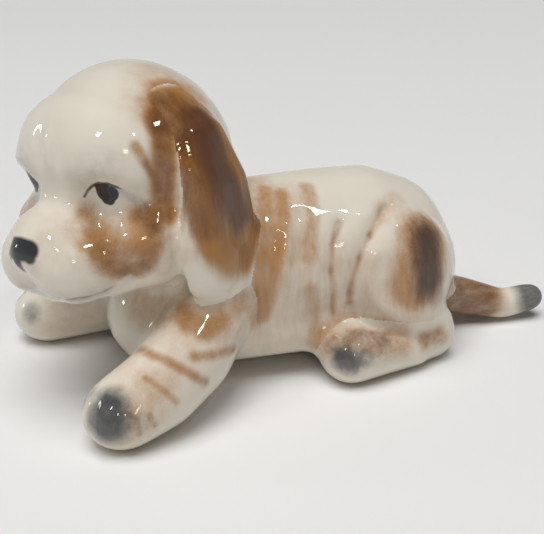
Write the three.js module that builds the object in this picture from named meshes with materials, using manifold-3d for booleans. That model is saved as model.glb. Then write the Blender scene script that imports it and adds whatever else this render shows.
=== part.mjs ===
// Crouching puppy figurine in glazed porcelain. The torso and the head are hollow slip castings; the
// ears, forelegs, hind feet and tail are solid castings, stuck on with slip before the firing.
// Millimetres, +Z up. The puppy faces -Y, its left is +X, and its soles stand on z = 0.
import * as THREE from "three";
import { mergeVertices, toCreasedNormals } from "three/addons/utils/BufferGeometryUtils.js";
import Module from "manifold-3d";

const wasm = await Module();
wasm.setup();

// ---- driving dimensions ----
const WALL = 2.8; // cast wall of the torso and the head
const SEAM = 0.3; // gap that the slip fills between two castings

const TORSO_LENGTH = 59; // first to last station of the barrel
const TORSO_WIDTH = 39;
const TORSO_HEIGHT = 49;
const BELLY_CLEARANCE = 1.8; // underside of the belly above the table
const BELLY_WIDTH = 42;
const CHEST_WIDTH = 36;
const HAUNCH_WIDTH = 22;
const HAUNCH_LENGTH = 32;
const HAUNCH_HEIGHT = 37;
const NECK_RADIUS = 17;
const VENT_RADIUS = 3.5; // firing vent in the belly

const HEAD_WIDTH = 52; // across the skull
const HEAD_DEPTH = 49; // forehead to nape
const HEAD_HEIGHT = 51; // chin line to crown
const HEAD_TURN = 32; // degrees, towards the puppy's left
const HEAD_TILT = -5; // degrees, left side raised
const MUZZLE_WIDTH = 26;
const MUZZLE_REACH = 38; // skull centre to the tip of the nose
const EAR_LENGTH = 46;
const EAR_WIDTH = 24;
const EAR_THICKNESS = 7.6;

const FORELEG_WIDTH = 19;
const LEFT_REACH = 28; // shoulder to paw, along the puppy
const RIGHT_REACH = 37;
const STANCE = 60; // between the middles of the forepaws
const HIND_FOOT_LENGTH = 26; // heel station to toe station
const HIND_FOOT_WIDTH = 18;
const TAIL_LENGTH = 32.5;
const TAIL_ROOT_RADIUS = 6.8;
const TAIL_TIP_RADIUS = 4.3;
const SOLE_CUT = 0.8; // depth that the table flattens off each foot

const X_AXIS = new THREE.Vector3(1, 0, 0);
const Y_AXIS = new THREE.Vector3(0, 1, 0);
const Z_AXIS = new THREE.Vector3(0, 0, 1);

// ---- solids ----
function solidOf(geometry) {
  const bare = geometry.clone();
  bare.deleteAttribute("normal");
  bare.deleteAttribute("uv");
  const merged = mergeVertices(bare, 1e-4);
  return new wasm.Manifold(
    new wasm.Mesh({
      numProp: 3,
      vertProperties: merged.attributes.position.array,
      triVerts: new Uint32Array(merged.index.array),
    }),
  );
}

// A rounded body along a smooth spine. Each station is [x, y, z, half width, half height]; the width
// is measured along `across`, and domes close the ends. `grow` swells it all round.
function limb(stations, { across = X_AXIS, around = 18, along = 9, grow = 0 } = {}) {
  const capRings = 4;
  const spine = new THREE.CatmullRomCurve3(stations.map(([x, y, z]) => new THREE.Vector3(x, y, z)));
  const sizes = new THREE.CatmullRomCurve3(
    stations.map(([, , , width, height]) => new THREE.Vector3(width + grow, height + grow, 0)),
  );
  const geometry = new THREE.SphereGeometry(1, around, 2 * capRings + along);
  const position = geometry.attributes.position;
  for (let i = 0; i < position.count; i++) {
    const row = Math.floor(i / (around + 1));
    const turn = ((i % (around + 1)) / around) * 2 * Math.PI;
    const share = THREE.MathUtils.clamp((row - capRings) / along, 0, 1);
    const tangent = spine.getTangent(share);
    const side = across.clone().addScaledVector(tangent, -across.dot(tangent)).normalize();
    const up = tangent.clone().cross(side);
    const size = sizes.getPoint(share);
    const intoCap = Math.max(capRings - row, row - capRings - along, 0) / capRings;
    const ring = Math.cos((intoCap * Math.PI) / 2);
    const reach = Math.sin((intoCap * Math.PI) / 2) * Math.min(size.x, size.y);
    const point = spine
      .getPoint(share)
      .addScaledVector(tangent, row < capRings ? -reach : reach)
      .addScaledVector(side, -Math.cos(turn) * size.x * ring)
      .addScaledVector(up, Math.sin(turn) * size.y * ring);
    position.setXYZ(i, point.x, point.y, point.z);
  }
  return solidOf(geometry);
}

// An egg of clay: its middle, and its half sizes along X, Y and Z.
function egg(middle, halves, grow = 0, around = 18) {
  const size = new THREE.Vector3(...halves).addScalar(grow);
  const place = new THREE.Matrix4().makeTranslation(...middle).scale(size);
  return solidOf(new THREE.SphereGeometry(1, around, Math.round(around * 0.6)).applyMatrix4(place));
}

function join(...solids) {
  return solids.reduce((whole, solid) => whole.add(solid));
}

// Everything on the far side of a plane, as a large block.
function beyond(point, normal) {
  const turn = new THREE.Quaternion().setFromUnitVectors(Z_AXIS, normal.clone().normalize());
  const place = new THREE.Matrix4().compose(point, turn, new THREE.Vector3(1, 1, 1));
  return solidOf(new THREE.BoxGeometry(400, 400, 400).translate(0, 0, 200).applyMatrix4(place));
}

const table = beyond(new THREE.Vector3(), Z_AXIS.clone().negate());

// ---- torso: barrel, belly, chest, haunches and neck in one hollow casting ----
const torsoZ = BELLY_CLEARANCE + TORSO_HEIGHT / 2;
const chestY = -16;
const middleY = chestY + TORSO_LENGTH / 2;
const rumpY = chestY + TORSO_LENGTH;
const neckFoot = new THREE.Vector3(0, chestY + 4, torsoZ + 6);
const headMiddle = new THREE.Vector3(-4, chestY - 11.5, torsoZ + TORSO_HEIGHT / 2 + 4);
const neckLine = headMiddle.clone().sub(neckFoot);

function barrel(grow) {
  const w = TORSO_WIDTH / 2;
  const h = TORSO_HEIGHT / 2;
  const stations = [
    [0, chestY, torsoZ - 3, w - 3, h - 5],
    [0, chestY + 0.27 * TORSO_LENGTH, torsoZ, w - 0.5, h - 0.5],
    [0, chestY + 0.57 * TORSO_LENGTH, torsoZ, w, h],
    [0, rumpY - 0.17 * TORSO_LENGTH, torsoZ - 1.5, w + 1, h - 0.5],
    [0, rumpY, torsoZ - 5.5, w - 2, h - 6],
  ];
  return limb(stations, { grow, around: 22 });
}
function belly(grow) {
  const w = BELLY_WIDTH / 2;
  const z = BELLY_CLEARANCE + 11;
  const stations = [
    [0, chestY + 6, z, w - 4, 11],
    [0, middleY, z - 0.5, w, 10.5],
    [0, rumpY - 10, z, w - 4, 10],
  ];
  return limb(stations, { grow });
}
function haunch(side, grow) {
  const halves = [HAUNCH_WIDTH / 2, HAUNCH_LENGTH / 2, HAUNCH_HEIGHT / 2];
  return egg([side * (TORSO_WIDTH / 2 - 6), rumpY - 5.5, torsoZ - 2.5], halves, grow);
}
function neck(grow) {
  const middle = neckFoot.clone().lerp(headMiddle, 0.5);
  const stations = [neckFoot, middle, headMiddle].map((point) => [...point, NECK_RADIUS, NECK_RADIUS]);
  return limb(stations, { grow });
}
function body(grow) {
  const chest = egg([0, chestY - 5, torsoZ - 9.5], [CHEST_WIDTH / 2, 16, 14.5], grow);
  return join(barrel(grow), belly(grow), chest, haunch(1, grow), haunch(-1, grow));
}
// The neck is cut off square a little inside the head, and stays open there.
function torsoSkin(grow) {
  const seam = neckFoot.clone().lerp(headMiddle, 0.62);
  const cut = beyond(seam.addScaledVector(neckLine.clone().normalize(), grow), neckLine);
  return join(body(grow), neck(grow).subtract(cut));
}
const torsoHollow = join(barrel(-WALL), belly(-WALL), neck(-WALL));
const vent = solidOf(
  new THREE.CylinderGeometry(VENT_RADIUS, VENT_RADIUS, 2 * (BELLY_CLEARANCE + WALL + 2), 20)
    .rotateX(Math.PI / 2)
    .translate(0, middleY, 0),
);
const torso = torsoSkin(0).subtract(torsoHollow).subtract(vent);

// ---- head: skull, brow, cheeks, muzzle and nose in one hollow casting ----
// Its own frame has the face towards -Y; it is then tilted, turned and set on the neck.
function inHead(solid) {
  const place = new THREE.Matrix4()
    .makeTranslation(headMiddle)
    .multiply(new THREE.Matrix4().makeRotationZ(THREE.MathUtils.degToRad(HEAD_TURN)))
    .multiply(new THREE.Matrix4().makeRotationY(THREE.MathUtils.degToRad(HEAD_TILT)));
  return solid.transform(place.elements);
}
function skull(grow) {
  return egg([0, 0, 1], [HEAD_WIDTH / 2, HEAD_DEPTH / 2, HEAD_HEIGHT / 2], grow, 24);
}
function muzzle(grow) {
  return egg([0, 14 - MUZZLE_REACH, -12], [MUZZLE_WIDTH / 2, 12.5, 10.5], grow);
}
function headSkin(grow) {
  const cheek = (side) => egg([side * (HEAD_WIDTH / 2 - 13), -11.5, -12.5], [12.5, 13, 12], grow);
  const lip = (side) => egg([side * 6.3, 12.5 - MUZZLE_REACH, -15.5], [9, 10.5, 9.5], grow);
  const jowl = (side) => egg([side * 9, 20 - MUZZLE_REACH, -16.5], [10, 11, 8.5], grow);
  const brow = egg([0, -12.5, 5], [HEAD_WIDTH / 2 - 4, 13.5, 17], grow);
  const bridge = egg([0, 17.5 - MUZZLE_REACH, -6.8], [6, 11, 5], grow);
  const chin = egg([0, 15 - MUZZLE_REACH, -21.5], [9, 9, 5], grow);
  const nose = egg([0, 3.5 - MUZZLE_REACH, -11.5], [5.2, 3.4, 4.2], grow, 12);
  const face = join(brow, bridge, muzzle(grow), cheek(1), cheek(-1), lip(1), lip(-1));
  return inHead(join(skull(grow), face, jowl(1), jowl(-1), chin, nose));
}
const headHollow = inHead(join(skull(-WALL), muzzle(-WALL)));
const head = headSkin(0).subtract(headHollow).subtract(torsoSkin(SEAM)).subtract(neck(-WALL));

// ---- ears: long drops, narrow where they hang from the skull and full at the bottom ----
function ear(side) {
  const x = HEAD_WIDTH / 2;
  const w = EAR_WIDTH / 2;
  const t = EAR_THICKNESS / 2;
  const top = 0.34 * HEAD_HEIGHT;
  const stations = [
    [side * (x - 10.5), -1.8, top, 0.52 * w, t],
    [side * (x - 3), 0.6, top - 0.17 * EAR_LENGTH, 0.63 * w, t],
    [side * (x + 0.3), 1.6, top - 0.42 * EAR_LENGTH, 0.79 * w, t],
    [side * (x + 0.8), 0.6, top - 0.68 * EAR_LENGTH, w, t],
    [side * x, 0, top - 0.88 * EAR_LENGTH, 0.92 * w, t],
  ];
  return inHead(limb(stations, { across: Y_AXIS }));
}

// ---- legs and tail ----
function foreleg(side, reach, grow = 0) {
  const w = FORELEG_WIDTH / 2;
  const shoulderX = TORSO_WIDTH / 2 - 6;
  const pawX = STANCE / 2;
  const y = chestY + 4;
  const pawZ = w - 1 - SOLE_CUT;
  const stations = [
    [side * shoulderX, y, torsoZ - 3.5, w + 0.5, w + 2],
    [side * (shoulderX + pawX) * 0.5, y - 0.32 * reach, torsoZ - 10.5, w + 0.5, w + 2],
    [side * (pawX - 2.5), y - 0.66 * reach, pawZ + 3.5, w + 0.3, w + 0.8],
    [side * pawX, y - reach, pawZ, w + 0.2, w - 1],
  ];
  return limb(stations, { grow }).subtract(table);
}
function hindFoot(side) {
  const w = HIND_FOOT_WIDTH / 2;
  const x = TORSO_WIDTH / 2 - 3;
  const heelY = rumpY + 4;
  const z = w - 1 - SOLE_CUT;
  const stations = [
    [side * x, heelY, z, w - 2, w - 1],
    [side * (x + 2), heelY - 0.5 * HIND_FOOT_LENGTH, z, w - 1, w - 0.5],
    [side * (x + 4), heelY - HIND_FOOT_LENGTH, z, w + 0.5, w - 1],
  ];
  return limb(stations).subtract(table);
}
const tailY = rumpY + 11;
const tailWaist = (TAIL_ROOT_RADIUS + TAIL_TIP_RADIUS) / 2;
const tail = limb([
  [0, tailY, TAIL_ROOT_RADIUS + 4, TAIL_ROOT_RADIUS, TAIL_ROOT_RADIUS],
  [1.5, tailY + 0.35 * TAIL_LENGTH, tailWaist + 2.5, tailWaist, tailWaist],
  [4.5, tailY + 0.72 * TAIL_LENGTH, TAIL_TIP_RADIUS + 0.6, TAIL_TIP_RADIUS + 0.2, TAIL_TIP_RADIUS + 0.2],
  [5.5, tailY + TAIL_LENGTH, TAIL_TIP_RADIUS + 1.8, TAIL_TIP_RADIUS, TAIL_TIP_RADIUS],
]);

// ---- the figurine: each casting is cut back to a seam's width from the one it is stuck to ----
const IVORY = 0xe3dccc;
const TAN = 0xb98d62;
const BROWN = 0x7a4f38;
const torsoSeat = torsoSkin(SEAM);
const headSeat = headSkin(SEAM);
const leftLegSeat = foreleg(1, LEFT_REACH, SEAM);
const rightLegSeat = foreleg(-1, RIGHT_REACH, SEAM);

const group = new THREE.Group();
function add(name, solid, colour) {
  const { vertProperties, triVerts } = solid.getMesh();
  const geometry = new THREE.BufferGeometry();
  geometry.setAttribute("position", new THREE.BufferAttribute(vertProperties, 3));
  geometry.setIndex(new THREE.BufferAttribute(triVerts, 1));
  const glaze = new THREE.MeshStandardMaterial({ color: colour, roughness: 0.1, metalness: 0 });
  const mesh = new THREE.Mesh(toCreasedNormals(geometry, Math.PI / 6), glaze);
  mesh.name = name;
  group.add(mesh);
}
add("torso", torso, IVORY);
add("head", head, IVORY);
add("left_ear", ear(1).subtract(headSeat).subtract(torsoSeat).subtract(leftLegSeat), BROWN);
add("right_ear", ear(-1).subtract(headSeat).subtract(torsoSeat).subtract(rightLegSeat), BROWN);
add("left_foreleg", foreleg(1, LEFT_REACH).subtract(torsoSeat).subtract(headSeat), IVORY);
add("right_foreleg", foreleg(-1, RIGHT_REACH).subtract(torsoSeat).subtract(headSeat), IVORY);
add("left_hind_foot", hindFoot(1).subtract(torsoSeat), TAN);
add("right_hind_foot", hindFoot(-1).subtract(torsoSeat), TAN);
add("tail", tail.subtract(torsoSeat), BROWN);

// The origin is under the middle of the whole figurine.
const middle = new THREE.Box3().setFromObject(group).getCenter(new THREE.Vector3());
group.position.set(-middle.x, -middle.y, 0);

export default group;
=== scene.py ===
import math

import bmesh
import bpy
import numpy as np
from mathutils import Matrix, Vector


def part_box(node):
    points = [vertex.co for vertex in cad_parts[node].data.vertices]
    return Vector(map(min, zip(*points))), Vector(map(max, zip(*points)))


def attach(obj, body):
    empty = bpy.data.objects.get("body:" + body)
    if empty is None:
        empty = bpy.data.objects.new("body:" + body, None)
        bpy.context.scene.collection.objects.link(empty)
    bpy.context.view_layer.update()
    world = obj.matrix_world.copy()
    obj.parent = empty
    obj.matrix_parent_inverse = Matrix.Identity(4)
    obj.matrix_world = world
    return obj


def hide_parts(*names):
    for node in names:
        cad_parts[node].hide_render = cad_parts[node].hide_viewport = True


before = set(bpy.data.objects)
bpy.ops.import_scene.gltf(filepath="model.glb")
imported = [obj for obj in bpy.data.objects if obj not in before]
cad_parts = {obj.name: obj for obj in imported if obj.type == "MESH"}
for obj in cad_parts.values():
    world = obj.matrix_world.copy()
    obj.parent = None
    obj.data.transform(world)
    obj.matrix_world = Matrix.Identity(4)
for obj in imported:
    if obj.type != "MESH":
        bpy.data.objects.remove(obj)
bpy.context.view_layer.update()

# ---------------------------------------------------------------------------------------------
# Clay model. The sculptor builds the whole puppy up from lumps of clay, kneads them into one
# skin and works the face, the folds and the toes into it. Moulds for slip casting are then
# taken from it in nine pieces, and the castings are stuck together again with slip.
# ---------------------------------------------------------------------------------------------
MM = 0.001
rump_behind_shoulders = 60.6 * MM
rump = Vector(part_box("torso")[1]).y
shoulders = Vector((0, rump - rump_behind_shoulders, 0))  # the point of the table under the shoulders
head_middle = shoulders + Vector((-4, -27.5, 54.8)) * MM
head_turn, head_tilt = 32, -5  # degrees
body_place = Matrix.Translation(shoulders)
head_place = (
    Matrix.Translation(head_middle)
    @ Matrix.Rotation(math.radians(head_turn), 4, "Z")
    @ Matrix.Rotation(math.radians(head_tilt), 4, "Y")
)


def both(*line):
    """The same line on the left and on the right."""
    return [[(side * x, *rest) for x, *rest in line] for side in (1, -1)]


# Chains of lumps: the middle of each (x, y, z) and its half sizes, in millimetres. The head and
# the ears are measured from the middle of the head, the rest from under the shoulders.
clay = {
    "torso": (body_place, [
        [(0, -16, 23.3, 16.5, 16.5, 19.5), (0, 0, 26.3, 19, 19, 24), (0, 18, 26.3, 19.5, 19.5, 24.5),
         (0, 32, 25.6, 20.5, 17, 24.8), (0, 40, 24.2, 18.5, 18, 23), (0, 43.5, 21, 17, 17.5, 18.5)],
        [(0, -10, 13.5, 17, 11, 11), (0, 13.5, 13, 19.5, 11, 10.5), (0, 33, 13.5, 17, 10, 10)],
        [(0, -21, 17, 18, 16.5, 14.5)],
        [(8, -22, 12, 12, 12, 10)],
        *both((13.5, 37.5, 23.8, 11, 16, 18.5)),
        [(0, -12, 32.3, 17, 17, 17), (-4, -27.5, 50, 17, 17, 17)],
    ]),
    "head": (head_place, [
        [(0, 0, 1, 26, 24.5, 25.5)],
        [(0, -12.5, 5, 22, 13.5, 17)],
        *both((13, -11.5, -12.5, 12.5, 13, 12)),
        [(0, -24, -12, 12.9, 12.5, 10.5)],
        [(0, -20.5, -6.8, 6, 11, 5)],
        *both((6.3, -25.5, -15.5, 9, 10.5, 9.5)),
        *both((9, -18, -16.5, 10, 11, 8.5)),
        [(0, -23, -21.5, 9, 9, 5)],
        [(0, -34.5, -11.5, 5.2, 3.4, 4.2)],
    ]),
    "ear": (head_place, both(
        (15.2, -1.8, 17.4, 3.6, 6.2, 3.6), (22.8, 0.6, 9.5, 3.8, 7.5, 4), (26.3, 1.6, -2, 3.8, 9.5, 5),
        (26.8, 0.6, -14, 3.9, 12, 5), (26, 0, -23, 4, 11, 6),
    )),
    "left_foreleg": (body_place, [
        [(13.5, -12, 22.8, 10, 10, 11.5), (21.7, -21, 15.8, 10, 10, 11.5),
         (27.5, -30.5, 11.2, 9.8, 9.8, 10.3), (30, -40, 7.7, 9.7, 9.7, 8.5)],
    ]),
    "right_foreleg": (body_place, [
        [(-13.5, -12, 22.8, 10, 10, 11.5), (-21.7, -23.8, 15.8, 10, 10, 11.5),
         (-27.5, -36.4, 11.2, 9.8, 9.8, 10.3), (-30, -49, 7.7, 9.7, 9.7, 8.5)],
    ]),
    "hind_foot": (body_place, both(
        (16.5, 47, 7.2, 7, 7, 8), (18.5, 34, 7.2, 8, 8, 8.5), (20.5, 21, 7.2, 9.5, 8, 8),
    )),
    "tail": (body_place, [
        [(0, 54, 10.8, 6.8, 6.8, 6.8), (1.5, 65.7, 8.1, 5.6, 5.6, 5.6),
         (4.5, 77.5, 4.9, 4.6, 4.6, 4.6), (5.5, 86.5, 6.2, 4.2, 4.2, 4.2)],
    ]),
}
for limb in ("ear", "hind_foot"):
    limb_place, (left, right) = clay.pop(limb)
    clay["left_" + limb] = (limb_place, [left])
    clay["right_" + limb] = (limb_place, [right])


def thing(name, mould):
    """Puts what a bmesh holds into a new object, and lets the bmesh go."""
    mesh = bpy.data.meshes.new(name)
    mould.to_mesh(mesh)
    mould.free()
    new = bpy.data.objects.new(name, mesh)
    bpy.context.collection.objects.link(new)
    return new


def heap(*names):
    """The lumps of some pieces, with each chain of lumps stretched into a limb."""
    heaped = bmesh.new()
    for name in names:
        place, chains = clay[name]
        for chain in chains:
            for first, last in zip(chain, chain[1:] or chain):
                link = bmesh.new()
                for x, y, z, *halves in [first, last] if first != last else [first]:
                    size = Matrix.Diagonal((*(Vector(halves) * MM), 1))
                    spot = place @ Matrix.Translation(Vector((x, y, z)) * MM) @ size
                    bmesh.ops.create_icosphere(link, subdivisions=3, radius=1, matrix=spot)
                if first != last:
                    hull = bmesh.ops.convex_hull(link, input=link.verts)
                    spare = hull["geom_interior"] + hull["geom_unused"]
                    inside = [vert for vert in dict.fromkeys(spare) if isinstance(vert, bmesh.types.BMVert)]
                    bmesh.ops.delete(link, geom=inside, context="VERTS")
                limb = bpy.data.meshes.new("limb")
                link.to_mesh(limb)
                link.free()
                heaped.from_mesh(limb)
                bpy.data.meshes.remove(limb)
    return thing("heap", heaped)


def knead(name, parts, crease, grain, sponging):
    """One skin round all the parts, with creases narrower than twice `crease` filled, then sponged."""
    mixed = bmesh.new()
    for part in parts:
        mixed.from_mesh(part.data)
        bpy.data.objects.remove(part)
    whole = thing(name, mixed)
    for swell in (crease, -crease, 0):
        remesh = whole.modifiers.new("knead", "REMESH")
        remesh.mode = "VOXEL"
        remesh.voxel_size = grain
        sponge = whole.modifiers.new("sponge", "SMOOTH")
        sponge.iterations = 4 if swell else sponging  # lightly at first
        if swell:
            push = whole.modifiers.new("push", "DISPLACE")
            push.strength = swell
            push.mid_level = 0
    kneaded = bpy.data.meshes.new_from_object(whole.evaluated_get(bpy.context.evaluated_depsgraph_get()))
    whole.modifiers.clear()
    whole.data = kneaded
    return whole


body = heap("torso", "left_foreleg", "right_foreleg", "left_hind_foot", "right_hind_foot", "tail")
base = knead("base", [body, heap("head")], crease=2 * MM, grain=0.8 * MM, sponging=8)
ears = heap("left_ear", "right_ear")
puppy = knead("puppy", [base, ears], crease=1.2 * MM, grain=0.44 * MM, sponging=22)


def spots(mesh, kind="position"):
    """The places (or a stored vector) of all points of a mesh, as rows of a table."""
    values = np.empty(3 * len(mesh.vertices))
    mesh.attributes[kind].data.foreach_get("vector", values)
    return values.reshape(-1, 3)


def measured(mesh, place):
    """The points of a mesh in millimetres, measured from a place."""
    turn = np.array(place.inverted())
    return (spots(mesh) @ turn[:3, :3].T + turn[:3, 3]) / MM


def reach(points, line):
    """How far each point is from a line."""
    nearest = np.full(len(points), np.inf)
    for first, last in zip(line, line[1:] or line):
        first, along = np.array(first), np.subtract(last, first)
        share = np.clip((points - first) @ along / max(along @ along, 1e-9), 0, 1)
        away = points - first - share[:, None] * along
        nearest = np.minimum(nearest, np.sqrt(np.einsum("ij,ij->i", away, away)))
    return nearest


# Lines on the left of the face and of the body, measured like the lumps. The right has the same.
lid_line = [
    (7.7, -22.4, -0.5), (8.7, -22, 0.9), (10.4, -21.6, 2.3), (12.3, -21.4, 3), (14.4, -20.8, 2.9),
    (15.8, -19.8, 1.8), (17, -18.2, 0),
]
mouth_line = [
    (0, -31.6, -22.9), (4, -31.6, -22.9), (8, -32, -22), (10.6, -30.6, -21.7), (12, -27.4, -21.8),
    (13.4, -25, -21.2), (16, -23.3, -20), (18.2, -21.5, -18.6),
]
thigh_front = [
    (18.8, 27, 33), (20.6, 26.2, 27), (22.2, 27.6, 21), (24, 32.5, 17.4), (24.6, 40, 15.2),
    (24, 44, 14.6), (21.6, 50, 13.6),
]
# Strokes of the modelling tool: how high each one raises the clay, its width, and its line.
face_strokes = [
    (-1.8, 4.4, [(9.6, -24, 0.5)]),  # corner of the eye
    (-1.3, 4.5, [(0, -25.8, 0.5)]),  # dip between the eyes
    (-1.9, 5, [(14, -22.2, -0.6), (18, -19, -1)]),  # eye socket
    (1.1, 2.8, [(13.4, -21.2, 0.2)]),  # eyeball
    (0.9, 2.2, [(8.4, -24.2, 3.2), (11.5, -23.8, 6), (15.5, -22, 6), (19.4, -17.6, 2.6)]),  # upper lid
    (-0.5, 0.8, lid_line),  # edge of the upper lid
    (0.45, 1.4, [  # lower lid
        (9, -22.8, -3.4), (11.4, -22.8, -5.4), (13.6, -22, -5.8), (16.4, -20.2, -5), (18.4, -17.8, -3.8),
    ]),
    (-0.35, 1.6, [(11, -23.8, -7.2), (14, -22.5, -8.4), (18, -20, -7.6)]),  # fold below the eye
    (-0.7, 2, [(3, -25, 14.5), (2.6, -25.8, 8)]),  # frown, and the ridge in it
    (0.6, 1.8, [(0, -26, 13), (0, -26.5, 8)]),
    (-0.6, 2, [(21, -13, 6), (22, -12, -2)]),  # temple
    (-0.5, 0.8, [(0, -36.6, -15), (0, -35.5, -18.5)]),  # lip groove
    (-1, 1, mouth_line),  # mouth
    (0.5, 1.6, [(0, -33.5, -20.2), (5, -33, -20.2), (9, -31, -20), (13.4, -26.5, -19.5)]),  # lip
    (-0.5, 1.2, [(4.8, -34.5, -9), (5.4, -34.2, -12), (3.8, -35, -14.8)]),  # edge of the nose
    (0.9, 1.7, [(25.2, -7, 3.7), (26.2, -8, -2.9), (26.4, -10.6, -10.4), (26, -11.6, -16.7)]),  # ear fold
    (-0.8, 1.6, [  # groove between the ear and the cheek
        (23.2, -9, 3), (23.4, -10, -2), (24.2, -11.8, -9), (24.2, -13.6, -16),
    ]),
    (-0.8, 4, [(28, 3, 3), (30, 3, -5), (30, 3, -13)]),  # hollow of the ear
    (0.8, 1.5, [  # hem of the ear
        (25.7, -10.2, -18.7), (27.8, -6.4, -24.2), (27.9, -0.3, -27.6), (28.8, 6, -27),
    ]),
]
body_strokes = [
    (-2.1, 1.4, [  # folds of the flank, from the haunch forward
        (13.8, 33, 43), (16.4, 27.1, 37.2), (17.8, 23.8, 32.3), (18.2, 21.7, 25.7), (18.3, 21.5, 23.5),
    ]),
    (0.9, 2.4, [(16.5, 34, 39), (19.6, 30, 34)]),
    (0.5, 2.6, [(15, 25.6, 42), (18.3, 20.6, 33.5)]),
    (-1.3, 1.2, [(15.2, 19.4, 41), (16.6, 16.9, 36.2), (18, 16.3, 30), (18, 16.9, 23), (17.4, 17.3, 18)]),
    (0.5, 2.4, [(18.6, 11.8, 32), (19.3, 11.6, 20)]),
    (-0.8, 1.8, [(18.6, 9.5, 24), (18.3, 11, 14)]),
    (-0.9, 1.8, [(15.9, 2.3, 39.2), (18.8, -0.3, 27.8), (19, -2, 20)]),
    (-0.8, 1.8, [(13, 9.5, 43), (17.6, 7.3, 34)]),
    (0.6, 2.2, [(14.8, 6.3, 42), (18.6, 3.4, 31)]),
    (1.7, 2.4, thigh_front),  # edge of the thigh
    (-1.5, 1.8, [  # groove between the thigh and the foot
        (20, 22, 18.5), (22, 26, 15.6), (24, 31.5, 13), (24.6, 40, 10.8), (23.4, 46, 10.4),
    ]),
    (1, 3, [(25, 28, 7), (24, 40, 4)]),  # side of the foot
    (1.3, 1.8, [(7, 58.9, 13.6), (7.2, 59.3, 8.4)]),  # lump beside the root of the tail
    (-6, 2.4, [(0, 13.5, 2.5)]),  # firing vent in the belly
    (-0.7, 1, [(28.4, 22.4, 12), (29.8, 20.6, 8), (29.4, 20.4, 4)]),  # toes of the hind foot
    (-0.7, 1, [(25.2, 14.6, 12.4), (27.6, 12.9, 8), (27.2, 13.2, 4)]),
    (-0.6, 1, [(21, 13, 12), (21.6, 11.6, 7)]),
]
paw_strokes = [  # toes
    (-0.8, 1, [(36.6, -39.6, 13.8), (38.6, -41.6, 9.6), (38.6, -43, 5)]),
    (-0.8, 1, [(33, -46.4, 13.8), (35, -48.4, 9.6), (34.8, -49, 5)]),
    (-0.6, 1, [(28, -48.4, 13), (28.4, -50.4, 8), (28.4, -50.4, 4)]),
]
right_paw_forward = 9  # the right foreleg is stretched further than the left one
raised = np.zeros(len(puppy.data.vertices))
for place, strokes in ((head_place, face_strokes), (body_place, body_strokes)):
    points = measured(puppy.data, place)
    points[:, 0] = abs(points[:, 0])
    for height, width, line in strokes:
        raised += height * np.exp(-((reach(points, line) / width) ** 2))
for side, forward in ((1, 0), (-1, right_paw_forward)):
    points = measured(puppy.data, body_place) * (side, 1, 1) + (0, forward, 0)
    for height, width, line in paw_strokes:
        raised += height * np.exp(-((reach(points, line) / width) ** 2))
outward = np.empty(3 * len(puppy.data.vertices))
puppy.data.vertex_normals.foreach_get("vector", outward)
worked = spots(puppy.data) + raised[:, None] * outward.reshape(-1, 3) * MM
worked[:, 2] = np.maximum(worked[:, 2], 0)  # the soles stand flat on the table
puppy.data.attributes["position"].data.foreach_set("vector", worked.ravel())
puppy.data.update()


def depth_in(points, chains):
    """About how far each point is from the lumps of a casting: less than nothing inside them."""
    least = np.full(len(points), np.inf)
    for chain in chains:
        for first, last in zip(chain, chain[1:] or chain):
            first, last = np.array(first, float), np.array(last, float)
            along = last[:3] - first[:3]
            share = np.clip((points - first[:3]) @ along / max(along @ along, 1e-9), 0, 1)[:, None]
            halves = first[3:] + share * (last - first)[3:]
            away = (points - first[:3] - share * along) / halves
            least = np.minimum(least, (np.linalg.norm(away, axis=1) - 1) * halves.mean(axis=1))
    return least


ear_rim = 0.8  # millimetres given to the ears, so that an ear keeps its rim where it rests on a leg
saw_strokes, glaze_runs = 12, 8
# Each facet of the clay belongs to the casting whose lumps are nearest.
nodes = [
    "torso", "head", "left_ear", "right_ear", "left_foreleg", "right_foreleg", "left_hind_foot",
    "right_hind_foot", "tail",
]
depths = np.array([depth_in(measured(puppy.data, clay[node][0]), clay[node][1]) for node in nodes])
facets = len(puppy.data.polygons)
corners = np.empty(len(puppy.data.loops), int)
puppy.data.loops.foreach_get("vertex_index", corners)
starts = np.empty(facets, int)
puppy.data.polygons.foreach_get("loop_start", starts)
depths[2:4] -= ear_rim
owners = np.add.reduceat(depths[:, corners], starts, axis=1).argmin(axis=0)
sides = np.diff(np.append(starts, len(corners)))
meetings = np.bincount(corners)
shares = np.array([owners == number for number in range(len(nodes))], float)
for _ in range(saw_strokes):  # the saw cuts run smooth
    for share in shares:
        worn = np.bincount(corners, np.repeat(share, sides)) / meetings
        share[:] = np.add.reduceat(worn[corners], starts) / sides
owners = shares.argmax(axis=0)
outward = np.empty(3 * len(puppy.data.vertices))
puppy.data.vertex_normals.foreach_get("vector", outward)
for slope in outward.reshape(-1, 3).T:  # the glaze flows over the last tool marks
    for _ in range(glaze_runs):
        levelled = np.add.reduceat(slope[corners], starts) / sides
        slope[:] = np.bincount(corners, np.repeat(levelled, sides)) / meetings
puppy.data.attributes.new("outward", "FLOAT_VECTOR", "POINT").data.foreach_set("vector", outward)
puppy.data.attributes.new("owner", "INT", "FACE").data.foreach_set("value", owners)


# ---------------------------------------------------------------------------------------------
# Torso. A hollow slip casting in ivory porcelain: barrel, belly, chest, haunches and neck. Tan is
# airbrushed behind the ears and in the folds, and a dark patch on each haunch. Painted shade, warm
# like a reflection, lies along the lower flank; the tan under each ear is partly a painted shadow
# of the ear; and the dark in the belly vent is painted shade.
# ---------------------------------------------------------------------------------------------
rim_depth = 1.6 * MM  # how far the edge of a casting is turned in where it meets its neighbour


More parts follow.
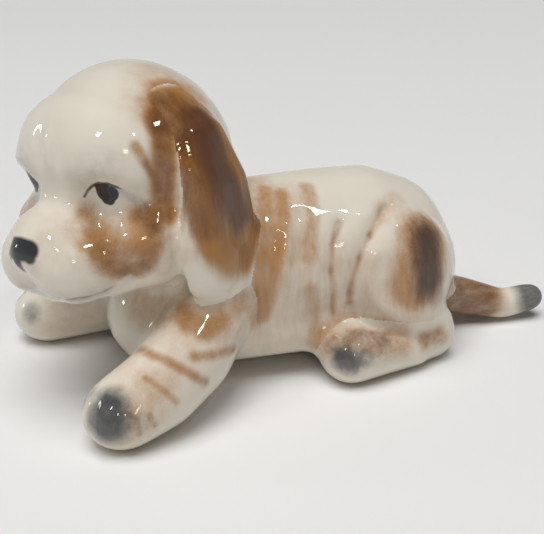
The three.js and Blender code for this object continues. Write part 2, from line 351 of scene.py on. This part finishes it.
def cast(node):
    """Cuts one casting out of the clay and closes it where it was cut."""
    slip = bmesh.new()
    slip.from_mesh(puppy.data)
    owner = slip.faces.layers.int["owner"]
    number = nodes.index(node)
    others = [facet for facet in slip.faces if facet[owner] != number]
    bmesh.ops.delete(slip, geom=others, context="FACES")
    rims = [edge for edge in slip.edges if edge.is_boundary]
    turned_in = bmesh.ops.extrude_edge_only(slip, edges=rims)["geom"]
    outward = slip.verts.layers.float_vector["outward"]
    for vert in (corner for corner in turned_in if isinstance(corner, bmesh.types.BMVert)):
        vert.co -= vert[outward] * rim_depth
    rims = [edge for edge in slip.edges if edge.is_boundary]
    lids = bmesh.ops.holes_fill(slip, edges=rims)["faces"]
    bmesh.ops.poke(slip, faces=lids)
    bmesh.ops.triangulate(slip, faces=slip.faces)
    casting = thing(node + "_casting", slip)
    casting.data.shade_smooth()
    directions = spots(casting.data, "outward")
    casting.data.normals_split_custom_set_from_vertices([tuple(row) for row in directions])
    casting.data.attributes.remove(casting.data.attributes["outward"])
    casting.data.attributes.remove(casting.data.attributes["owner"])
    return casting


def paint(casting, place, pigment, washes):
    """Airbrushes one pigment, left and right: strength, full width, faded edge and line of each wash."""
    bare = np.ones(len(casting.data.vertices))
    points = measured(casting.data, place)
    points[:, 0] = abs(points[:, 0])
    for strength, width, edge, line in washes:
        fade = np.clip((reach(points, line) - width) / edge, 0, 1)
        bare *= 1 - strength * (1 - fade * fade * (3 - 2 * fade))
    coat = casting.data.attributes.new(pigment, "FLOAT", "POINT")
    coat.data.foreach_set("value", 1 - bare)


def wire(tree, kind, sockets, **settings):
    """Adds a shader node and fills its sockets with numbers, colours or other nodes' outputs."""
    step = tree.nodes.new(kind)
    for setting, value in settings.items():
        setattr(step, setting, value)
    for socket, value in sockets.items():
        if isinstance(value, bpy.types.NodeSocket):
            tree.links.new(value, step.inputs[socket])
        else:
            step.inputs[socket].default_value = value
    return step


def group_of(name, inputs, outputs):
    """An empty node group with named sockets."""
    group = bpy.data.node_groups.new(name, "ShaderNodeTree")
    for in_out, sockets in (("INPUT", inputs), ("OUTPUT", outputs)):
        for socket, kind in sockets.items():
            group.interface.new_socket(socket, in_out=in_out, socket_type="NodeSocket" + kind)
    return group, group.nodes.new("NodeGroupInput").outputs, group.nodes.new("NodeGroupOutput").inputs


# Underglaze colours over the ivory body: a tan ochre, a dark umber and a blue grey slate. The brush
# lays each one on in streaks, and the airbrush speckles it where it is thin. A few washes of these
# colours are painted shade and painted shadow rather than underglaze.
ivory, aged_ivory = (0.79, 0.745, 0.66, 1), (0.72, 0.66, 0.56, 1)
pigments = {
    "Ochre": (0.4, 0.178, 0.038, 1),
    "Umber": (0.11, 0.045, 0.025, 1),
    "Slate": (0.05, 0.055, 0.06, 1),
}
speckle_closeness, cloud_closeness = 2.6, 0.09  # waves to the millimetre
speckle_share, most_grain, unevenness = 0.3, 0.3, 2.4
underglaze, given, put = group_of(
    "underglaze",
    {"Ochre": "Float", "Umber": "Float", "Slate": "Float", "Streaks": "Vector", "Spots": "Vector"},
    {"Colour": "Color"},
)
streak = wire(underglaze, "ShaderNodeTexNoise", {
    "Vector": given["Streaks"], "Scale": 1, "Detail": 3, "Roughness": 0.6,
})
speckle = wire(underglaze, "ShaderNodeTexNoise", {
    "Vector": given["Spots"], "Scale": speckle_closeness, "Detail": 2,
})
cloud = wire(underglaze, "ShaderNodeTexNoise", {
    "Vector": given["Spots"], "Scale": cloud_closeness, "Detail": 2,
})
grain = wire(underglaze, "ShaderNodeMath", {
    0: speckle.outputs[0], 1: speckle_share, 2: streak.outputs[0],
}, operation="MULTIPLY_ADD")
grain = wire(underglaze, "ShaderNodeMapRange", {
    0: grain.outputs[0], 1: 0.4, 2: 0.9, 3: -most_grain, 4: most_grain,
}, clamp=True)
tone = wire(underglaze, "ShaderNodeMix", {0: cloud.outputs[0], 6: ivory, 7: aged_ivory}, data_type="RGBA")
for pigment, colour in pigments.items():
    thin = wire(underglaze, "ShaderNodeMath", {0: 1, 1: given[pigment]}, operation="SUBTRACT")
    thin = wire(underglaze, "ShaderNodeMath", {0: thin.outputs[0], 1: given[pigment]}, operation="MULTIPLY")
    uneven = wire(underglaze, "ShaderNodeMath", {
        0: thin.outputs[0], 1: grain.outputs[0],
    }, operation="MULTIPLY")
    cover = wire(underglaze, "ShaderNodeMath", {
        0: uneven.outputs[0], 1: unevenness, 2: given[pigment],
    }, operation="MULTIPLY_ADD", use_clamp=True)
    tone = wire(underglaze, "ShaderNodeMix", {
        0: cover.outputs[0], 6: tone.outputs[2], 7: colour,
    }, data_type="RGBA")
underglaze.links.new(tone.outputs[2], put["Colour"])

ripple_closeness, ripple_height = 0.16, 0.2 * MM  # waves to the millimetre; how high they are
glaze_index, glaze_roughness, body_roughness = 1.5, 0.025, 0.5


def glazed(name, place, streaks):
    """A clear glaze over the painted body; `streaks` is how close the brush marks lie along X, Y and Z."""
    material = bpy.data.materials.new(name)
    material.use_nodes = True
    tree = material.node_tree
    where = wire(tree, "ShaderNodeTexCoord", {})
    where = wire(tree, "ShaderNodeMapping", {
        "Vector": where.outputs["Object"], "Location": place.to_translation(), "Rotation": place.to_euler(),
        "Scale": (MM, MM, MM),
    }, vector_type="TEXTURE", name="place")
    stretched = wire(tree, "ShaderNodeVectorMath", {0: where.outputs[0], 1: streaks}, operation="MULTIPLY")
    painted = wire(tree, "ShaderNodeGroup", {}, node_tree=underglaze, name="paint")
    tree.links.new(stretched.outputs[0], painted.inputs["Streaks"])
    tree.links.new(where.outputs[0], painted.inputs["Spots"])
    for pigment in pigments:
        coat = wire(tree, "ShaderNodeAttribute", {}, attribute_name=pigment.lower())
        tree.links.new(coat.outputs["Fac"], painted.inputs[pigment])
    ripple = wire(tree, "ShaderNodeTexNoise", {
        "Vector": where.outputs[0], "Scale": ripple_closeness, "Detail": 1,
    })
    skin = wire(tree, "ShaderNodeBump", {
        "Height": ripple.outputs[0], "Strength": 1, "Distance": ripple_height,
    })
    shader = tree.nodes["Principled BSDF"]
    shader.inputs["Roughness"].default_value = body_roughness
    shader.inputs["Specular IOR Level"].default_value = 0
    shader.inputs["IOR"].default_value = glaze_index
    shader.inputs["Coat Weight"].default_value = 1
    shader.inputs["Coat Roughness"].default_value = glaze_roughness
    tree.links.new(painted.outputs["Colour"], shader.inputs["Base Color"])
    tree.links.new(skin.outputs[0], shader.inputs["Normal"])
    return material


flank_stripes = [
    [(8, 6.8, 48), (13.6, 5.3, 43.4), (16.1, 3.1, 37.9), (17.8, 1.5, 32), (18, -0.2, 25.5), (18, -1.5, 20)],
    [(7.2, 13.9, 48.6), (13.1, 13.3, 43.9), (16.4, 11, 38.6), (17.6, 10.5, 34)],
    [(6.3, 3, 48.8), (11.1, 1.9, 45.6), (14.5, 0.5, 41.5), (16.1, -0.6, 38.3), (17.4, -1.6, 34.5),
     (18, -3.6, 26)],
]
flank_folds = [
    [(15.2, 19.4, 41), (16.6, 16.9, 36.2), (18, 16.3, 30), (18, 16.9, 23), (17.4, 17.3, 18)],
    [(13.8, 33, 43), (16.4, 27.1, 37.2), (17.8, 23.8, 32.3), (18.2, 21.7, 25.7), (18.4, 21.4, 21)],
]
chest_tan_and_ear_shadow = [
    (0.34, 3, 6.5, [(12, -29, 25), (17, -26, 26), (24, -21, 26.5), (26, -13, 25)]),
    # tan under the ear, partly a painted shadow of the ear
    (0.5, 1, 4, [(23, -9, 27), (20, -4.5, 26), (19.6, -3.6, 20)]),
    (0.7, 0.8, 3.6, [(22, -23.4, 27.1), (26.2, -22.4, 25.7), (28, -19.2, 24.4), (26, -14.9, 25.2)]),
]
chest_umber_and_ear_shadow = [
    (0.18, 0.6, 3.4, [(23, -23.2, 26.8), (26.2, -22.4, 25.7), (28, -19.2, 24.4)]),
    # grey brown under the ear, partly a painted shadow of the ear
    (0.2, 0.3, 2, [(22.2, -9, 27.8), (19.1, -4.2, 27.2)]),
]
foot_wash = [(0.55, 2.2, 4.4, [(21, 14, 12), (24, 18, 13.4), (26, 25, 12.5), (25.4, 33, 11)])]
haunch_patch = [(20.2, 41.5, 36), (22.9, 41, 31), (23.8, 41.5, 26)]
torso = cast("torso")
paint(torso, body_place, "ochre", [
    (0.72, 0.5, 2.6, flank_stripes[0]),
    (0.5, 0.6, 2.6, flank_stripes[1]),
    (0.6, 0.6, 2.4, flank_stripes[2]),
    (0.42, 4, 8, [(0, -3, 49), (9, -3, 46), (15, -4, 38), (17, -6, 30)]),
    (0.25, 3, 6, [(9, 8, 46), (16, 6, 37)]),
    (0.5, 0.1, 1.7, flank_folds[0]),
    (0.7, 0.1, 2, flank_folds[1][1:]),
    (0.4, 0.1, 2, flank_folds[1][:2]),
    (0.4, 0.5, 2.4, [(19.4, 10.7, 26.2), (18, 12.1, 16.5), (19.6, 12.4, 10.4)]),
    (0.74, 5, 5.4, [(20.2, 41, 36), (22.9, 39.5, 31), (23.6, 37.5, 25.5)]),
    (0.25, 1, 4, [(12.2, 36.7, 44), (14.7, 32.2, 41.8)]),
    *foot_wash,
    (0.4, 1.5, 4, [(6, 58, 14), (7, 58.5, 5)]),
    (0.5, 1, 3.4, [(19, 19, 16), (22, 26, 14), (24, 33, 12.6)]),
    # painted shade and a warm painted reflection along the lower flank
    (0.26, 9, 12, [(19, 0, 24), (19, 16, 22), (20, 30, 18)]),
    *chest_tan_and_ear_shadow,
])
paint(torso, body_place, "umber", [
    (0.93, 1.6, 6.2, haunch_patch),
    # painted shade: the dark inside of the vent hole
    (0.9, 2, 1.4, [(0, 13.5, 6)]),
    (0.35, 0.4, 4, [(24, 40, 22), (22.7, 45, 19.8)]),
    (0.3, 0.1, 1.1, flank_folds[0]),
    (0.4, 0.2, 1.3, flank_folds[1][1:]),
    *chest_umber_and_ear_shadow,
])
paint(torso, body_place, "slate", [(0.45, 1, 5, haunch_patch)])
torso.data.materials.append(glazed("torso_glaze", body_place, (0.5, 0.5, 0.12)))
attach(torso, "root")
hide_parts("torso")

# ---------------------------------------------------------------------------------------------
# Head. A hollow slip casting, turned to the puppy's left and stuck on the neck. Its cheeks are
# airbrushed tan, and the eyes, the mouth and the nose are drawn with a fine brush. A grey painted
# shadow of the brow lies over the upper lids.
# ---------------------------------------------------------------------------------------------
fine_brush, given, put = group_of(
    "fine_brush",
    {"Spot": "Vector", "Start": "Vector", "End": "Vector",
     "Start Width": "Float", "End Width": "Float", "Edge": "Float"},
    {"Mark": "Float"},
)


def worked_out(operation, first, second, kind="ShaderNodeVectorMath", output=0, **settings):
    """One sum of the fine brush, on two sockets."""
    return wire(fine_brush, kind, {0: first, 1: second}, operation=operation, **settings).outputs[output]


across = worked_out("SUBTRACT", given["Spot"], given["Start"])
line = worked_out("SUBTRACT", given["End"], given["Start"])
run = worked_out("DOT_PRODUCT", across, line, output="Value")
whole = worked_out("DOT_PRODUCT", line, line, output="Value")
share = worked_out("DIVIDE", run, whole, kind="ShaderNodeMath", use_clamp=True)
foot = wire(fine_brush, "ShaderNodeVectorMath", {0: line, "Scale": share}, operation="SCALE").outputs[0]
away = worked_out("DISTANCE", across, foot, output="Value")
width = wire(fine_brush, "ShaderNodeMix", {
    0: share, 2: given["Start Width"], 3: given["End Width"],
}, data_type="FLOAT").outputs[0]
outer = worked_out("ADD", width, given["Edge"], kind="ShaderNodeMath")
inner = worked_out("SUBTRACT", width, given["Edge"], kind="ShaderNodeMath")
mark = wire(fine_brush, "ShaderNodeMapRange", {
    0: away, 1: inner, 2: outer, 3: 1, 4: 0,
}, interpolation_type="SMOOTHSTEP")
fine_brush.links.new(mark.outputs[0], put["Mark"])


def draw(tree, where, marks, edge):
    """The mask of brush marks, each a start, an end, and the width at both."""
    mask = 0
    for start, end, start_width, end_width in marks:
        mark = wire(tree, "ShaderNodeGroup", {}, node_tree=fine_brush)
        tree.links.new(where, mark.inputs["Spot"])
        mark.inputs["Start"].default_value = start
        mark.inputs["End"].default_value = end
        mark.inputs["Start Width"].default_value = start_width
        mark.inputs["End Width"].default_value = end_width
        mark.inputs["Edge"].default_value = edge
        mask = wire(tree, "ShaderNodeMath", {0: mark.outputs[0], 1: mask}, operation="MAXIMUM").outputs[0]
    return mask


def joined(line, widths):
    """The marks of one brush line that grows thicker and thinner as it goes."""
    return [(*ends, *sizes) for ends, sizes in zip(zip(line, line[1:]), zip(widths, widths[1:]))]


ear_strip = [
    (18.5, -5, 17.5), (19.8, -8.6, 14.5), (21.4, -9.6, 10.5), (21.8, -10.8, 5), (21.8, -11.6, 0),
    (22.4, -12.4, -5),
]
cheek_ring = [
    (8.4, -22.9, -3.4), (10.1, -23.8, -5.3), (11.6, -24.3, -7.3), (13, -25.5, -9), (14.9, -25.8, -12),
    (16.2, -24.9, -14), (17.6, -23.4, -16), (20.6, -20.4, -16.4), (22.6, -18.9, -14.7), (23.4, -18, -12),
    (23.1, -16.4, -8), (21.8, -15.8, -6), (19.2, -17, -4.4),
]
temple = [(19.4, -16.3, 10.6), (20.8, -15, 6.7), (21.2, -13.2, 3), (21, -12.4, 0.1)]
head = cast("head")
paint(head, head_place, "ochre", [
    (0.72, 2.6, 4.6, [(14.6, -25, -10), (17, -23.8, -13), (20.4, -20.8, -12.8)]),
    (0.66, 1.6, 4.4, [(19.8, -17.5, -5.6), (22, -17.5, -9.5)]),
    (0.5, 0.4, 3.2, cheek_ring),
    (0.25, 4, 3, [(11.5, -25, -7), (18.5, -20.5, -8)]),
    (0.7, 0.3, 1.7, temple),
    (0.9, 2, 2.8, ear_strip),
    (0.7, 3, 4.5, [(17.5, -2, 19), (19, -6.5, 16)]),
    (0.3, 2, 9, [(13, 0, 22), (16.5, -6, 18.5)]),
    (0.5, 2.5, 5, [(19, 4, 18), (17.5, -3, 19.5)]),
    (0.12, 5, 8, [(9, -28, -8)]),
    (0.25, 1, 3, [(24.6, -12.6, -11), (23.5, -15, -17)]),
])
paint(head, head_place, "umber", [
    (0.22, 0.2, 3, cheek_ring),
    (0.3, 1, 4.5, [(15.4, -25, -12.4), (18, -23, -14.6), (20.6, -20.6, -14)]),
    (0.5, 0.8, 3, [(20, -16.6, -4.6), (22.4, -16.6, -7)]),
    (0.5, 1, 2.4, ear_strip),
    (0.5, 2, 3.5, [(18.2, -4, 18), (20, -7.6, 14.5)]),
    (0.35, 0.1, 1.3, temple[1:]),
])
paint(head, head_place, "slate", [
    # painted shadow of the brow over the upper lid
    (0.16, 0.5, 5, [(8.5, -24, 4), (12, -23.4, 6.6), (16, -21.6, 7)]),
    (0.3, 0.1, 1.4, [(16, -19.1, 0.7), (17.4, -16.7, -1.5), (20.1, -14.6, -3)]),
    (0.25, 0.5, 4, [(0, -33, -21), (8, -32, -20.6), (13, -26, -20)]),
])
material = glazed("head_glaze", head_place, (0.35, 0.35, 0.35))
tree = material.node_tree
apart = wire(tree, "ShaderNodeSeparateXYZ", {0: tree.nodes["place"].outputs[0]})
outwards = wire(tree, "ShaderNodeMath", {0: apart.outputs[0]}, operation="ABSOLUTE")
where = wire(tree, "ShaderNodeCombineXYZ", {
    0: outwards.outputs[0], 1: apart.outputs[1], 2: apart.outputs[2],
}).outputs[0]
lids = joined(lid_line, [0.32, 0.36, 0.42, 0.5, 0.5, 0.42, 0.3])
pupils = [
    ((12.4, -20.9, 0.5), (13.9, -20.5, 0.3), 2.2, 2.1),
    ((11.4, -21.2, 1.7), (13.6, -21, 2), 1, 1),
    ((12.7, -20.3, -0.8), (13.2, -20.2, -1), 1.6, 1.5),
]
nose = [
    ((0, -36.6, -9.6), (2.9, -36.2, -9.8), 2.7, 2.5),
    ((2.9, -36.4, -10.4), (3.4, -36.2, -11.4), 1.9, 1.4),
    ((0, -37.2, -11), (0, -36.2, -15), 1.8, 0.7),
]
smile = joined(mouth_line, [0.6, 0.7, 0.7, 0.6, 0.5, 0.4, 0.3, 0.15])
colour = tree.nodes["paint"].outputs["Colour"]
for marks, edge, strength, ink in (
    (smile, 0.5, 0.8, (0.1, 0.105, 0.115, 1)),
    (lids, 0.22, 0.9, (0.05, 0.045, 0.04, 1)),
    (pupils, 0.22, 1, (0.012, 0.013, 0.015, 1)),
    (nose, 0.5, 0.97, (0.018, 0.023, 0.03, 1)),
):
    mask = wire(tree, "ShaderNodeMath", {
        0: draw(tree, where, marks, edge), 1: strength,
    }, operation="MULTIPLY")
    drawn = wire(tree, "ShaderNodeMix", {0: mask.outputs[0], 6: colour, 7: ink}, data_type="RGBA")
    colour = drawn.outputs[2]
tree.links.new(colour, tree.nodes["Principled BSDF"].inputs["Base Color"])
head.data.materials.append(material)
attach(head, "root")
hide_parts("head")

# ---------------------------------------------------------------------------------------------
# Ears. Two long drops, cast solid and stuck to the sides of the head. They are airbrushed brown
# from top to bottom, darkest down the middle, and the rim keeps the ivory of the body.
# ---------------------------------------------------------------------------------------------
for side in ("left", "right"):
    ear = cast(side + "_ear")
    paint(ear, head_place, "ochre", [
        (0.9, 5, 3, [(20, 2, 16), (26, 1, 6), (28.5, 0, -4), (29.3, -2, -12.6)]),
        (0.9, 2.4, 2, [(25.8, -5, 8), (27.3, -6.5, 0), (28.4, -7, -8), (28.9, -6.4, -13)]),
        (0.85, 2.6, 4, [(28.9, -4.6, -14.6), (29.2, 0, -18.4), (29.2, 5.5, -20), (28, 9, -17)]),
        (0.85, 4, 3.6, [(24, 6, 10), (28, 6.5, 0), (29.3, 6.5, -10)]),
        (0.5, 3, 5.5, [(29, 0, -18)]),
        (0.85, 3, 4, [(26, 11, 5), (27.5, 12, -6), (27.5, 12, -14)]),
        (0.2, 2, 3, [(22.6, -8.4, 6), (23.2, -9.5, -5.2), (26, -11.9, -13.5)]),
        (0.9, 3.6, 3.4, [(18.5, -4.5, 17.5), (21.5, -6, 13), (24, -6.5, 8.5)]),
    ])
    paint(ear, head_place, "umber", [
        (0.93, 2, 5.4, [(23, 0, 13), (27.6, -0.4, 5), (29.3, 1, -3), (29.4, 4, -9)]),
        (0.6, 2, 4, [(26, 11, 5), (27.5, 12, -6), (27.5, 12, -12)]),
        (0.3, 1, 5, [(29.2, 0, -14), (29.2, 5.5, -18)]),
        (0.55, 3, 4, [(25.8, -4, 8), (27.3, -5.5, 0), (28.4, -6, -8)]),
        (0.6, 3, 4, [(19.5, -5.5, 16.5), (22.5, -6.5, 11.5)]),
    ])
    paint(ear, head_place, "slate", [(0.14, 1, 5, [(26.5, 2, 8), (29.3, 4, -2), (29.3, 7, -9)])])
    ear.data.materials.append(glazed(side + "_ear_glaze", head_place, (0.6, 0.6, 0.08)))
    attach(ear, "root")
    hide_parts(side + "_ear")

# ---------------------------------------------------------------------------------------------
# Forelegs. Solid castings stuck to the chest, the right one stretched further forward. They are
# airbrushed: tan stripes across them, and dark grey toes. A faint tan painted shadow of the head
# lies over the top of each leg.
# ---------------------------------------------------------------------------------------------
leg_stripes = [
    [(24.6, -34.3, 20.4), (30.1, -32.3, 20.9), (32.3, -29.6, 20.2), (33.8, -26.6, 18.4),
     (33.9, -23.1, 15.4), (33.1, -21.1, 13.4)],
    [(32, -23.4, 20), (30.9, -18.4, 18.9), (27.1, -12.4, 17.5)],
    [(33.9, -35, 17.8), (35.9, -32.8, 16.1), (36.8, -30.8, 14.2), (36.9, -29, 11.9)],
]
toe_marks = [
    [(38, -39.8, 11.6), (38.8, -38.5, 10.5), (38.8, -38, 7)],
    [(38.4, -35.4, 10.9), (38.3, -34.4, 8)],
]
for side, forward in (("left", 0), ("right", right_paw_forward)):
    leg = cast(side + "_foreleg")
    place = body_place @ Matrix.Translation((0, -forward * MM, 0))
    paint(leg, place, "ochre", [
        (0.7, 0.1, 2, leg_stripes[0]), (0.62, 0.2, 2, leg_stripes[1]), (0.55, 0.1, 1.3, leg_stripes[2]),
        (0.3, 2, 6, [(38, -38, 10), (36, -34, 15)]),
        # painted shadow of the head over the top of the leg
        (0.2, 5, 8, [(24, -22, 24), (32, -34, 18)]),
        (0.3, 0.2, 1.2, toe_marks[0]), (0.3, 0.2, 1.2, toe_marks[1]),
        # the chest tan, with the painted shadow under the ear, runs on over the left leg
        *(chest_tan_and_ear_shadow if side == "left" else [(0.22, 3, 6, [(20, -38, 10), (18, -30, 10)])]),
    ])
    paint(leg, place, "umber", [
        (0.15, 0.1, 1.6, leg_stripes[0]), (0.12, 0.1, 1.6, leg_stripes[1]),
        (0.3, 0.1, 0.9, toe_marks[0]), (0.3, 0.1, 0.9, toe_marks[1]),
        # the chest umber, with the painted shadow under the ear, runs on over the left leg
        *(chest_umber_and_ear_shadow if side == "left" else []),
    ])
    paint(leg, place, "slate", [
        (0.92, 2.4, 5.4, [(36, -44.4, 12.5), (37, -44.6, 10)]),
        (0.25, 1, 3, [(38.6, -38, 9.5)]),
        (0.6, 1, 4, [(27, -47, 12)]) if side == "left" else (0.6, 0.6, 4, [(23.2, -45.6, 11)]),
    ])
    leg.data.materials.append(glazed(side + "_foreleg_glaze", place, (0.3, 0.3, 0.3)))
    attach(leg, "root")
    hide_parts(side + "_foreleg")

# ---------------------------------------------------------------------------------------------
# Hind feet. Small solid castings under the haunches, washed with tan, with dark grey toes and
# ivory soles.
# ---------------------------------------------------------------------------------------------
for side in ("left", "right"):
    foot = cast(side + "_hind_foot")
    paint(foot, body_place, "ochre", [
        *foot_wash,
        (0.5, 1.2, 3, [(24.7, 40.9, 8.9), (23.2, 46.2, 8.7)]),
    ])
    paint(foot, body_place, "umber", [
        (0.35, 0.6, 3, [(22.6, 14.7, 11.4), (24.1, 18.4, 13.6), (25.4, 23.4, 13.4), (25.6, 28.7, 12.6)]),
        (0.35, 0.4, 2.4, [(24.7, 40.9, 8.9), (23.2, 46.2, 8.7)]),
        (0.4, 0.1, 0.9, [(28.4, 22.4, 12), (29.8, 20.6, 8)]),
    ])
    paint(foot, body_place, "slate", [
        (0.9, 1.2, 4, [(26.4, 16.6, 9.4), (28, 17.8, 8.8)]),
        (0.2, 2, 5, [(26, 20, 12), (27, 26, 11)]),
        (0.5, 1, 2.6, [(28.8, 22, 9.4)]),
    ])
    foot.data.materials.append(glazed(side + "_hind_foot_glaze", body_place, (0.4, 0.4, 0.4)))
    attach(foot, "root")
    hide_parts(side + "_hind_foot")

# ---------------------------------------------------------------------------------------------
# Tail. A short solid casting that curls to the left on the table: brown at the root, then a band
# of ivory, and a grey tip.
# ---------------------------------------------------------------------------------------------
tail = cast("tail")
paint(tail, body_place, "ochre", [(0.7, 7.5, 5, [(1.5, 58, 10), (3, 67.5, 8)])])
paint(tail, body_place, "umber", [(0.58, 6.5, 4.4, [(1.5, 58, 10), (3, 67, 8)])])
paint(tail, body_place, "slate", [(0.85, 3.6, 4.4, [(6.5, 86, 7)])])
tail.data.materials.append(glazed("tail_glaze", body_place, (0.5, 0.15, 0.5)))
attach(tail, "root")
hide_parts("tail")
bpy.data.objects.remove(puppy)

# ---------------------------------------------------------------------------------------------
# Studio. A sheet of white paper under a wide soft ceiling light, with a window in front. Three
# small lamps and a pair of warm tubes put the glints on the glaze. The camera looks slightly down
# on the puppy's left.
# ---------------------------------------------------------------------------------------------
sheet = bmesh.new()
bmesh.ops.create_grid(sheet, x_segments=1, y_segments=1, size=3)
floor = thing("floor", sheet)
paper = bpy.data.materials.new("paper")
paper.use_nodes = True
paper.node_tree.nodes["Principled BSDF"].inputs["Base Color"].default_value = (0.82, 0.82, 0.82, 1)
paper.node_tree.nodes["Principled BSDF"].inputs["Roughness"].default_value = 0.9
floor.data.materials.append(paper)

world = bpy.data.worlds.new("studio")
bpy.context.scene.world = world
world.use_nodes = True
backdrop = world.node_tree.nodes["Background"]
backdrop.inputs["Color"].default_value = (1, 0.96, 0.9, 1)
ray = wire(world.node_tree, "ShaderNodeLightPath", {})
# The backdrop looks bright itself, and throws only a little light on the puppy.
seen_glow, thrown_glow = 0.6, 0.06
glow = wire(world.node_tree, "ShaderNodeMath", {
    0: ray.outputs["Is Camera Ray"], 1: seen_glow, 2: thrown_glow,
}, operation="MULTIPLY_ADD")
# The glaze mirrors a soft horizon, which fades out above this height on a globe of radius 1.
mirrored_glow, mirrored_height = 0.45, 0.6
direction = wire(world.node_tree, "ShaderNodeTexCoord", {})
direction = wire(world.node_tree, "ShaderNodeSeparateXYZ", {0: direction.outputs["Generated"]})
horizon = wire(world.node_tree, "ShaderNodeMapRange", {
    0: direction.outputs["Z"], 1: 0, 2: mirrored_height, 3: mirrored_glow, 4: 0,
}, interpolation_type="SMOOTHSTEP")
glow = wire(world.node_tree, "ShaderNodeMath", {
    0: ray.outputs["Is Glossy Ray"], 1: horizon.outputs[0], 2: glow.outputs[0],
}, operation="MULTIPLY_ADD")
world.node_tree.links.new(glow.outputs[0], backdrop.inputs["Strength"])
bpy.context.scene.view_settings.view_transform = "Standard"

middle = shoulders + Vector((20, 0, 34)) * MM  # what the lights and the camera face


def seen_from(azimuth, elevation, distance):
    """A place round the puppy, and the turn that faces it back at the puppy."""
    azimuth, elevation = math.radians(azimuth), math.radians(elevation)
    level = math.cos(elevation)
    away = Vector((math.sin(azimuth) * level, -math.cos(azimuth) * level, math.sin(elevation)))
    return middle + away * distance, away.to_track_quat("Z", "Y").to_euler()


for name, azimuth, elevation, distance, width, height, power in (
    ("window", 0, 35, 0.9, 0.4, 0.5, 0.1),
    ("lamp", 30, 46, 0.8, 0.06, 0.1, 0.4),
    ("back_lamp", 126, 58, 0.8, 0.06, 0.07, 0.35),
    ("low_lamp", -30, 15, 0.8, 0.08, 0.09, 0.3),
    ("tube", 82, 26, 0.8, 0.12, 0.024, 0.25),
    ("second_tube", 82, 30.5, 0.8, 0.12, 0.024, 0.25),
):
    light = bpy.data.lights.new(name, "AREA")
    light.shape = "RECTANGLE"
    light.size, light.size_y = width, height
    light.energy = power
    light.color = (1, 0.88, 0.66) if width > height else (1, 1, 1)  # the tubes burn warmer
    holder = bpy.data.objects.new(name, light)
    holder.location, holder.rotation_euler = seen_from(azimuth, elevation, distance)
    holder.visible_glossy = name != "window"  # it would leave a broad white reflection
    bpy.context.collection.objects.link(holder)

ceiling_spread = 42  # degrees
ceiling = bpy.data.objects.new("ceiling", bpy.data.lights.new("ceiling", "SUN"))
ceiling.data.energy = 2.4
ceiling.data.angle = math.radians(ceiling_spread)
ceiling.rotation_euler = seen_from(40, 78, 1)[1]
ceiling.visible_glossy = False
bpy.context.collection.objects.link(ceiling)

camera_distance = 0.22
camera = bpy.data.objects.new("camera", bpy.data.cameras.new("camera"))
camera.location, camera.rotation_euler = seen_from(70, 23, camera_distance)
camera.data.lens = 60.4  # millimetres
camera.data.clip_start = 0.01
bpy.context.collection.objects.link(camera)
bpy.context.scene.camera = camera
